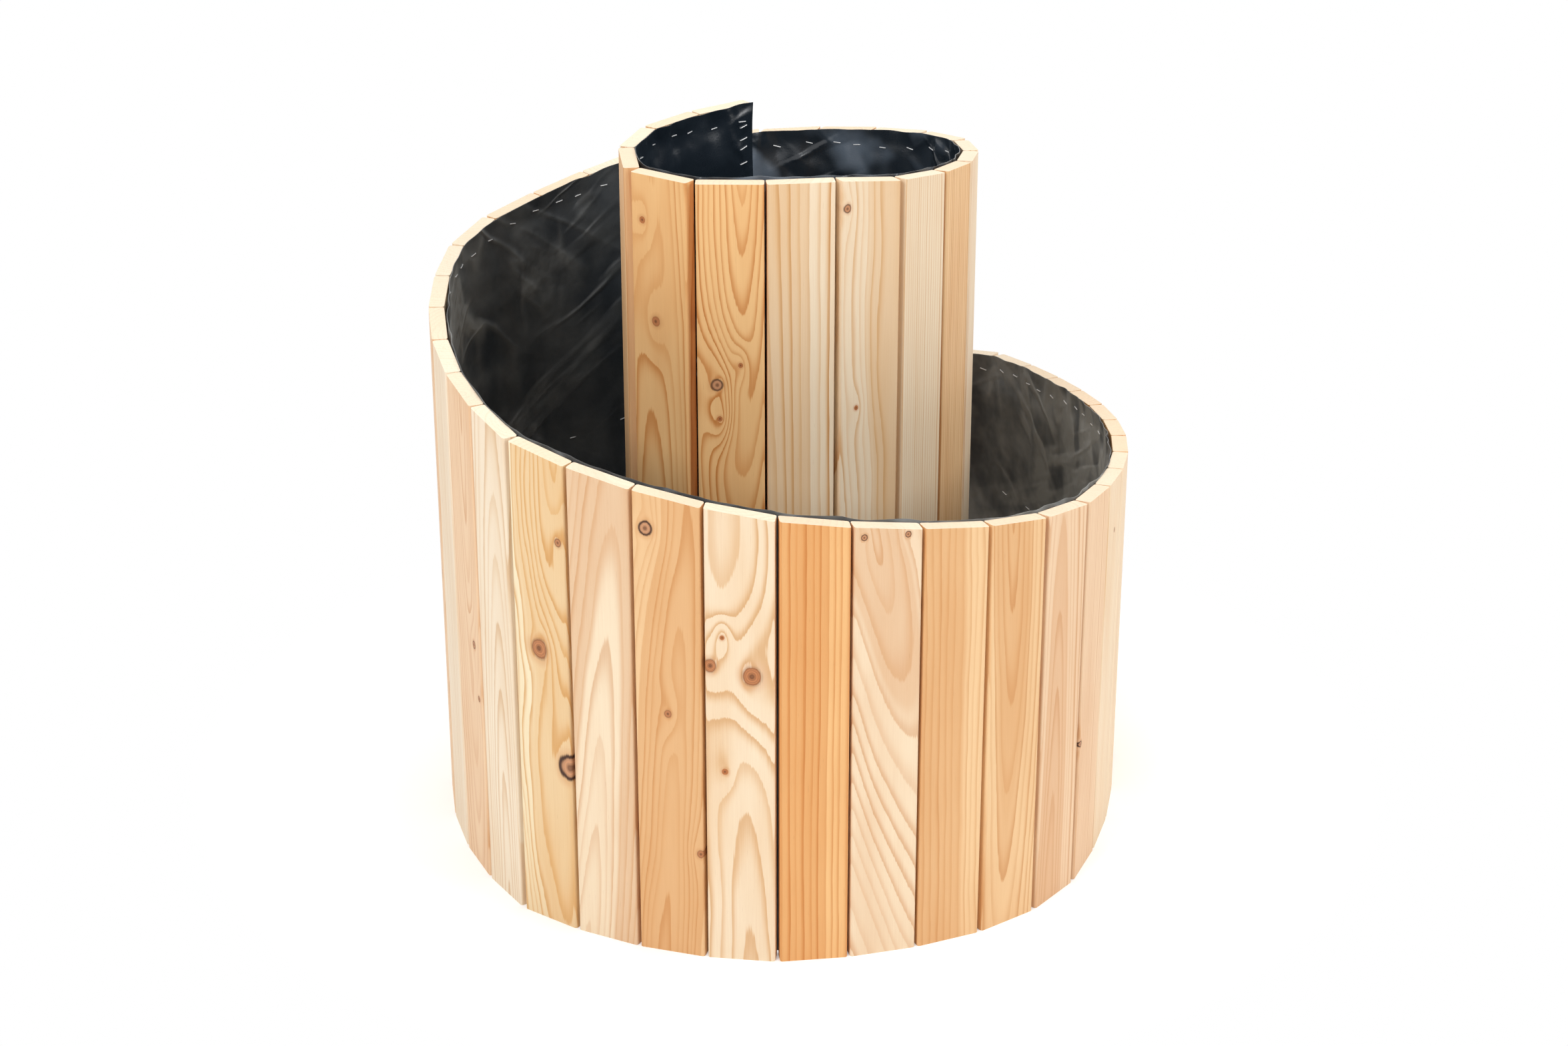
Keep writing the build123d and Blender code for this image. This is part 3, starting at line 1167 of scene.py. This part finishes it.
    def _realise(self, seeds: bpy.types.Object, tree: bpy.types.NodeTree, name: str) -> bpy.types.Object:
        """Runs the tree on a body's points and keeps the result as a plain mesh.

        Args:
            seeds: The object that holds the points.
            tree: The Geometry Nodes tree.
            name: The piece's name.

        Returns:
            The piece.
        """
        modifier = seeds.modifiers.new("set_staples", "NODES")
        modifier.node_group = tree
        sizes = dict(zip(self.SIZES, (self.crown, self.wire, self.height, self.leg)))
        for item in tree.interface.items_tree:
            if item.in_out == "INPUT" and item.name in sizes:
                modifier[item.identifier] = sizes[item.name]
        bpy.context.view_layer.update()
        ready = seeds.evaluated_get(bpy.context.evaluated_depsgraph_get())
        mesh = bpy.data.meshes.new_from_object(ready)
        mesh.name = name
        bpy.data.objects.remove(seeds)
        piece = add_object(name, mesh)
        work = bmesh.new()
        work.from_mesh(mesh)
        bmesh.ops.recalc_face_normals(work, faces=work.faces)
        work.to_mesh(mesh)
        work.free()
        return piece


@dataclass(frozen=True)
class SoftBox:
    """A square studio lamp.

    Args:
        name: The lamp's name.
        place: Where it is.
        aim: What it points at.
        side: Its side length in metres.
        watts: Its power.
    """

    name: str
    place: tuple[float, float, float]
    aim: tuple[float, float, float]
    side: float
    watts: float

    def hang(self) -> None:
        """Adds the lamp to the scene."""
        data = bpy.data.lights.new(self.name, "AREA")
        data.shape = "SQUARE"
        data.size = self.side
        data.energy = self.watts
        lamp = add_object(self.name, data)
        lamp.location = self.place
        lamp.rotation_euler = (Vector(self.aim) - Vector(self.place)).to_track_quat("-Z", "Y").to_euler()


class Studio:
    """The white floor, the lamps, the pale surround and the camera."""

    FLOOR_REACH = 14.0
    FLOOR_GLOW = 0.26
    FLOOR_WHITE = (0.93, 0.93, 0.93, 1.0)
    SHADOW_REACH = 0.52
    WHITE_REACH = 0.88
    SURROUND_LIGHT = 0.42

    LAMPS = (
        SoftBox("key", (-2.6, -3.4, 3.2), (0.0, 0.0, 0.45), 2.2, 108.0),
        SoftBox("fill", (3.7, -2.1, 2.6), (0.0, 0.0, 0.5), 2.4, 80.0),
        SoftBox("top", (0.3, 0.6, 4.2), (0.0, 0.0, 0.4), 2.6, 70.0),
    )

    def build(self) -> None:
        """Adds everything around the object."""
        self._floor()
        self._surround()
        for lamp in self.LAMPS:
            lamp.hang()
        self._camera()
        bpy.context.scene.view_settings.view_transform = "Standard"

    def _floor(self) -> None:
        """A wide white floor that keeps the object's shadow."""
        mesh = bpy.data.meshes.new("floor")
        corners = [(x * self.FLOOR_REACH, y * self.FLOOR_REACH, 0.0)
                   for x, y in ((-1, -1), (1, -1), (1, 1), (-1, 1))]
        mesh.from_pydata(corners, [], [(0, 1, 2, 3)])
        floor = add_object("floor", mesh)
        material, bench, shader = new_material("floor_paper")
        shader.inputs["Base Color"].default_value = self.FLOOR_WHITE
        shader.inputs["Roughness"].default_value = 0.9
        shader.inputs["Specular IOR Level"].default_value = 0.0
        path = bench.node("ShaderNodeLightPath").outputs
        seen = bench.signal(path["Is Camera Ray"]).at_least(bench.signal(path["Is Glossy Ray"]))
        x, y, _ = bench.split(bench.node("ShaderNodeTexCoord").outputs["Object"])
        away = (x * x + y * y).root().step(self.SHADOW_REACH, self.WHITE_REACH)
        glow = bench.node("ShaderNodeEmission", {"Strength": seen * self.FLOOR_GLOW})
        white = bench.node("ShaderNodeEmission")
        lit = bench.node("ShaderNodeAddShader", {0: shader.outputs[0], 1: glow.outputs[0]})
        both = bench.node("ShaderNodeMixShader", {0: seen * away, 1: lit.outputs[0], 2: white.outputs[0]})
        bench.fill(bench.tree.nodes["Material Output"], {"Surface": both.outputs[0]})
        mesh.materials.append(material)

    def _surround(self) -> None:
        """A pale surround that lights evenly and shows as white."""
        world = bpy.data.worlds.new("surround")
        bpy.context.scene.world = world
        world.use_nodes = True
        bench = Bench(world.node_tree)
        path = bench.node("ShaderNodeLightPath").outputs
        camera, glass, gloss = (bench.signal(path[f"Is {kind} Ray"])
                                for kind in ("Camera", "Transmission", "Glossy"))
        strength = bench.node("ShaderNodeMapRange", {"Value": camera.at_least(glass).at_least(gloss),
                                                     "To Min": self.SURROUND_LIGHT, "To Max": 1.0})
        bench.fill(world.node_tree.nodes["Background"], {"Strength": strength.outputs[0],
                                                         "Color": (1.0, 1.0, 1.0, 1.0)})

    def _camera(self) -> None:
        """The camera, at the photograph's place and angle."""
        data = bpy.data.cameras.new("camera")
        data.sensor_width = SENSOR_WIDTH
        data.lens = FOCAL_PIXELS / PHOTO_WIDTH * SENSOR_WIDTH
        camera = add_object("camera", data)
        camera.location = CAMERA_PLACE
        camera.rotation_euler = (math.radians(90.0 - CAMERA_PITCH), 0.0, 0.0)
        bpy.context.scene.camera = camera


def main() -> None:
    """Builds and dresses the bed from the wall outwards."""
    logging.basicConfig(level=logging.INFO, format="%(name)s: %(message)s")
    wall = Wall()
    BoardFinish(wall).dress()
    staples = Staples(wall)
    pins = [(spot.place, spot.height) for node in Staples.BODIES for spot in staples.places(node)]
    LinerFilm(wall, pins).build()
    staples.build()
    Studio().build()


if __name__ == "__main__":
    main()
